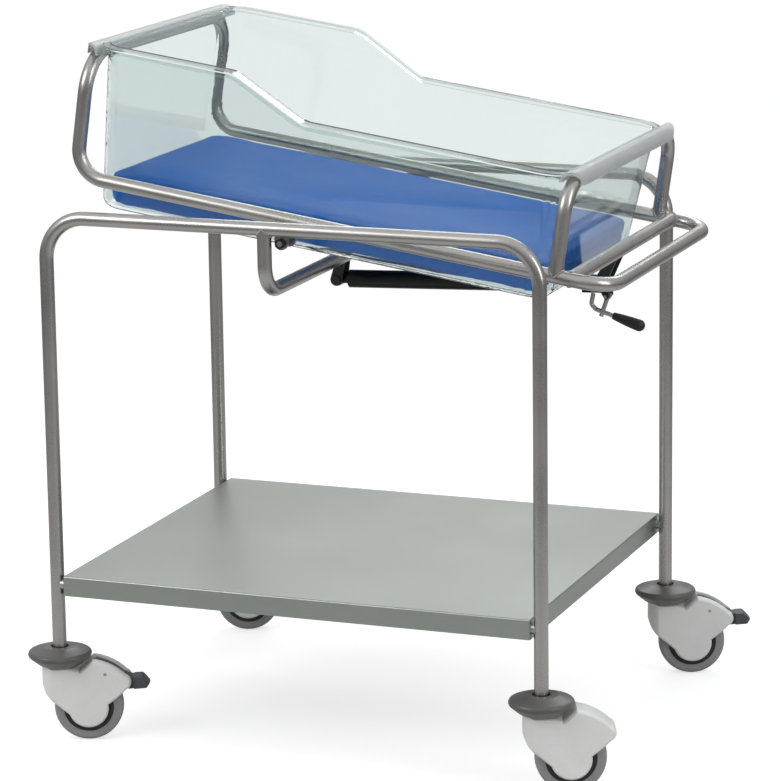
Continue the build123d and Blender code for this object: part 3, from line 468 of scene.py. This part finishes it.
def smooth_skin(node):
    """A merged, smooth-shaded copy of a solid."""
    mesh = nodes[node].data.copy()
    mesh.name = node + "_skin"
    shape = bmesh.new()
    shape.from_mesh(mesh)
    bmesh.ops.remove_doubles(shape, verts=shape.verts, dist=0.00002)
    for face in shape.faces:
        face.smooth = True
    for edge in shape.edges:
        edge.smooth = edge.is_manifold and edge.calc_face_angle(0.0) < SHARP_FROM
    shape.to_mesh(mesh)
    shape.free()
    piece = show(node + "_skin", mesh, node)
    weighted = piece.modifiers.new("weighted normals", "WEIGHTED_NORMAL")
    weighted.keep_sharp = True
    return piece


skinned = sorted(set(nodes) - {"mattress"})
for name in skinned:
    smooth_skin(name)
print("skins:", len(skinned))

# %% [markdown]
# ## The tub's hooks
# The tub hangs on the two hoops by a hooked lip at each end. There the plastic is bent round
# the tube, so it is stretched and milky, and the tube behind it only shows through faintly.
# The faces of the lips are found by their place in the level cradle's drawing.

# %% Milky hooks
TO_LEVEL = (
    Matrix.Translation(DRAWING_SHIFT * MM) @ Matrix.Translation(PIVOT * MM) @ CRADLE_LEAN
).inverted()
HEAD_HOOK_X = -0.3215
HEAD_HOOK_Z = RAIL_Z * MM + 0.169
FOOT_HOOK_X = 0.3678
FOOT_HOOK_Z = RAIL_Z * MM + 0.122

tub = bpy.data.objects["basin_skin"]
tub.data.materials.append(finishes["hook_plastic"])
to_level = TO_LEVEL @ nodes["basin"].matrix_world
milky = 0
for face in tub.data.polygons:
    spot = to_level @ face.center
    at_head = spot.x < HEAD_HOOK_X and spot.z > HEAD_HOOK_Z
    at_foot = spot.x > FOOT_HOOK_X and spot.z > FOOT_HOOK_Z
    if at_head or at_foot:
        face.material_index = 1
        milky += 1
print("milky faces:", milky, "of", len(tub.data.polygons))

# %% [markdown]
# ## The mattress
# It is a foam pad in a coated cover. The solid is shrunk a little and blown up as cloth, so
# the top crowns and the edges go soft. It may move only a few millimetres, stays flat where
# it lies on the tub's floor, and gets the seam of its cover round its side afterwards.

# %% Mattress
PAD_VOXEL = 0.005
PAD_SHRINK = 0.003
PAD_CAP = 0.003
SEAM_RISE = 0.026
SEAM_HALF = 0.0030
SEAM_DEPTH = 0.0016
COVER_PRESSURE = 4.0
COVER_TENSION = 20.0
COVER_BENDING = 1.0
LAST_FRAME = 20


def level_mesh(node):
    """A copy of a solid's mesh, laid level about the cradle's pivots."""
    mesh = nodes[node].data.copy()
    mesh.transform(TO_LEVEL @ nodes[node].matrix_world)
    return mesh


def shrink(mesh, amount, floor_z):
    """Draws a mesh in along its normals, but not at its flat underside."""
    mesh.update()
    normals = [vertex.normal.copy() for vertex in mesh.vertices]
    for vertex, normal in zip(mesh.vertices, normals):
        vertex.co -= normal * amount
        vertex.co.z = max(vertex.co.z, floor_z)


def inflate(pad):
    """Blows a piece up as cloth and keeps the result."""
    cloth = pad.modifiers.new("cover", "CLOTH")
    cloth.settings.use_pressure = True
    cloth.settings.uniform_pressure_force = COVER_PRESSURE
    cloth.settings.effector_weights.gravity = 0.0
    cloth.settings.tension_stiffness = COVER_TENSION
    cloth.settings.bending_stiffness = COVER_BENDING
    cloth.collision_settings.use_collision = False
    for frame_number in range(1, LAST_FRAME + 1):
        bpy.context.scene.frame_set(frame_number)
    graph = bpy.context.evaluated_depsgraph_get()
    blown = bpy.data.meshes.new_from_object(pad.evaluated_get(graph))
    pad.modifiers.remove(cloth)
    bpy.context.scene.frame_set(1)
    return blown


pad_mesh = level_mesh("mattress")
pad_low = min(vertex.co.z for vertex in pad_mesh.vertices)
pad = bpy.data.objects.new("mattress_pad", pad_mesh)
bpy.context.scene.collection.objects.link(pad)
voxels = pad.modifiers.new("voxels", "REMESH")
voxels.mode = "VOXEL"
voxels.voxel_size = PAD_VOXEL
graph = bpy.context.evaluated_depsgraph_get()
pad.data = bpy.data.meshes.new_from_object(pad.evaluated_get(graph))
pad.modifiers.clear()
shrink(pad.data, PAD_SHRINK, pad_low)
rest = [vertex.co.copy() for vertex in pad.data.vertices]
blown = inflate(pad)
for vertex, start, moved in zip(pad.data.vertices, rest, blown.vertices):
    step = moved.co - start
    if step.length > PAD_CAP:
        step = step.normalized() * PAD_CAP
    vertex.co = start + step
    vertex.co.z = max(vertex.co.z, pad_low)
finer = pad.modifiers.new("finer", "SUBSURF")
finer.levels = 1
graph = bpy.context.evaluated_depsgraph_get()
pad_mesh = bpy.data.meshes.new_from_object(pad.evaluated_get(graph))
bpy.data.objects.remove(pad)
pad_mesh.update()
normals = [vertex.normal.copy() for vertex in pad_mesh.vertices]
for vertex, normal in zip(pad_mesh.vertices, normals):
    off = abs(vertex.co.z - pad_low - SEAM_RISE) / SEAM_HALF
    if off < 1.0:
        vertex.co -= normal * SEAM_DEPTH * (1.0 + cos(pi * off)) / 2.0
pad_mesh.transform(TO_LEVEL.inverted())
for face in pad_mesh.polygons:
    face.use_smooth = True
mattress = show("mattress_pad", pad_mesh, "mattress")
print("mattress faces:", len(pad_mesh.polygons))

# %% [markdown]
# ## Weld beads
# Where one tube is welded on another of the same size, the bead follows a saddle curve. A
# Geometry Nodes tree sweeps a small round section along it and swells it in ripples, as the
# puddles of a weld do. The tree ends with Realize Instances and Set Material, and its result
# becomes a plain mesh, one for each moving body.

# %% Weld bead tree
BEAD_STEP = 0.0003
BEAD_SIDES = 12
PUDDLE_SCALE = 240.0


def tree_input(tree, name, kind, value=None):
    """A named input on a geometry tree; gives back its identifier."""
    socket = tree.interface.new_socket(name=name, in_out="INPUT", socket_type=kind)
    if value is not None:
        socket.default_value = value
    return socket.identifier


def math_node(tree, operation, *values):
    """A maths node with its inputs joined or set."""
    node = add_node(tree, "ShaderNodeMath", operation=operation)
    for place, value in enumerate(values):
        if isinstance(value, bpy.types.NodeSocket):
            tree.links.new(value, node.inputs[place])
        else:
            node.inputs[place].default_value = value
    return node.outputs[0]


bead_tree = bpy.data.node_groups.new("Weld bead", "GeometryNodeTree")
bead_inputs = {}
for label, kind, value in (
    ("Path", "NodeSocketGeometry", None),
    ("Bead Radius", "NodeSocketFloat", 0.0016),
    ("Ripple Pitch", "NodeSocketFloat", 0.0016),
    ("Ripple Depth", "NodeSocketFloat", 0.22),
    ("Wander", "NodeSocketFloat", 0.5),
    ("Material", "NodeSocketMaterial", None),
):
    bead_inputs[label] = tree_input(bead_tree, label, kind, value)
bead_tree.interface.new_socket(name="Bead", in_out="OUTPUT", socket_type="NodeSocketGeometry")
given = add_node(bead_tree, "NodeGroupInput")
result = add_node(bead_tree, "NodeGroupOutput")
steps = add_node(bead_tree, "GeometryNodeResampleCurve", mode="LENGTH")
steps.inputs["Length"].default_value = BEAD_STEP
along = add_node(bead_tree, "GeometryNodeSplineParameter")
place = add_node(bead_tree, "GeometryNodeInputPosition")
puddle = add_node(bead_tree, "ShaderNodeTexNoise")
puddle.inputs["Scale"].default_value = PUDDLE_SCALE
puddle.inputs["Detail"].default_value = 1.0
wire(bead_tree, place, "Position", puddle, "Vector")
turns = math_node(bead_tree, "DIVIDE", along.outputs["Length"], given.outputs["Ripple Pitch"])
wave = math_node(bead_tree, "SINE", math_node(bead_tree, "MULTIPLY", turns, 2 * pi))
ripple = math_node(bead_tree, "MULTIPLY", wave, given.outputs["Ripple Depth"])
uneven = math_node(bead_tree, "SUBTRACT", puddle.outputs["Fac"], 0.5)
drift = math_node(bead_tree, "MULTIPLY", uneven, given.outputs["Wander"])
swell = math_node(bead_tree, "ADD", math_node(bead_tree, "ADD", ripple, drift), 1.0)
thick = add_node(bead_tree, "GeometryNodeSetCurveRadius")
section = add_node(bead_tree, "GeometryNodeCurvePrimitiveCircle")
section.inputs["Resolution"].default_value = BEAD_SIDES
sweep = add_node(bead_tree, "GeometryNodeCurveToMesh")
smooth = add_node(bead_tree, "GeometryNodeSetShadeSmooth")
whole = add_node(bead_tree, "GeometryNodeRealizeInstances")
coat = add_node(bead_tree, "GeometryNodeSetMaterial")
wire(bead_tree, given, "Path", steps, "Curve")
wire(bead_tree, steps, "Curve", thick, "Curve")
bead_tree.links.new(swell, thick.inputs["Radius"])
wire(bead_tree, thick, "Curve", sweep, "Curve")
wire(bead_tree, given, "Bead Radius", section, "Radius")
wire(bead_tree, section, "Curve", sweep, "Profile Curve")
if "Scale" in sweep.inputs:
    bead_tree.links.new(swell, sweep.inputs["Scale"])
wire(bead_tree, sweep, "Mesh", smooth, "Geometry")
wire(bead_tree, smooth, "Geometry", whole, "Geometry")
wire(bead_tree, whole, "Geometry", coat, "Geometry")
wire(bead_tree, given, "Material", coat, "Material")
wire(bead_tree, coat, "Geometry", result, "Bead")
print("weld bead tree:", len(bead_tree.nodes), "nodes")

# %% Weld beads on the joints
SADDLE_STEPS = 72


def saddle(centre, branch, rail):
    """The closed curve where a tube along `branch` meets a rail of its own size."""
    across = branch.cross(rail)
    points = []
    for step in range(SADDLE_STEPS):
        turn = 2 * pi * step / SADDLE_STEPS
        spot = rail * cos(turn) + across * sin(turn) + branch * abs(cos(turn))
        points.append(centre + spot * TUBE_RADIUS)
    return points


def beads(name, rings, node, placed):
    """Weld beads along closed curves, as one mesh on one body."""
    curve = bpy.data.curves.new(name, "CURVE")
    curve.dimensions = "3D"
    for ring in rings:
        spline = curve.splines.new("POLY")
        spline.points.add(len(ring) - 1)
        for point, spot in zip(spline.points, ring):
            point.co = (*placed(*spot), 1.0)
        spline.use_cyclic_u = True
    path = bpy.data.objects.new(name, curve)
    bpy.context.scene.collection.objects.link(path)
    grow = path.modifiers.new("weld bead", "NODES")
    grow.node_group = bead_tree
    grow[bead_inputs["Material"]] = finishes["weld_metal"]
    graph = bpy.context.evaluated_depsgraph_get()
    mesh = bpy.data.meshes.new_from_object(path.evaluated_get(graph))
    bpy.data.objects.remove(path)
    piece = bpy.data.objects.new(name, mesh)
    bpy.context.scene.collection.objects.link(piece)
    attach(piece, BODY_OF[node])
    print(name, len(mesh.polygons), "faces")
    return piece


ALONG_X = Vector((1, 0, 0))
ALONG_Y = Vector((0, 1, 0))
ALONG_Z = Vector((0, 0, 1))
trolley_rings = [saddle(Vector((DROP_MEMBER_X, side * LEG_Y, TOP_RAIL_Z)), -ALONG_Z, ALONG_X)
                 for side in (-1, 1)]
cradle_rings = []
for side in (-1, 1):
    hoop_foot = Vector((FOOT_HOOP_X, side * RAIL_Y, RAIL_Z))
    tube_end = Vector((CROSS_TUBE_X, side * RAIL_Y, RAIL_Z))
    cradle_rings.append(saddle(hoop_foot, ALONG_Z, ALONG_X))
    cradle_rings.append(saddle(tube_end, -side * ALONG_Y, ALONG_X))
beads("trolley_welds", trolley_rings, "drop_crossmember", on_trolley)
beads("cradle_welds", cradle_rings, "foot_hoop", on_cradle)
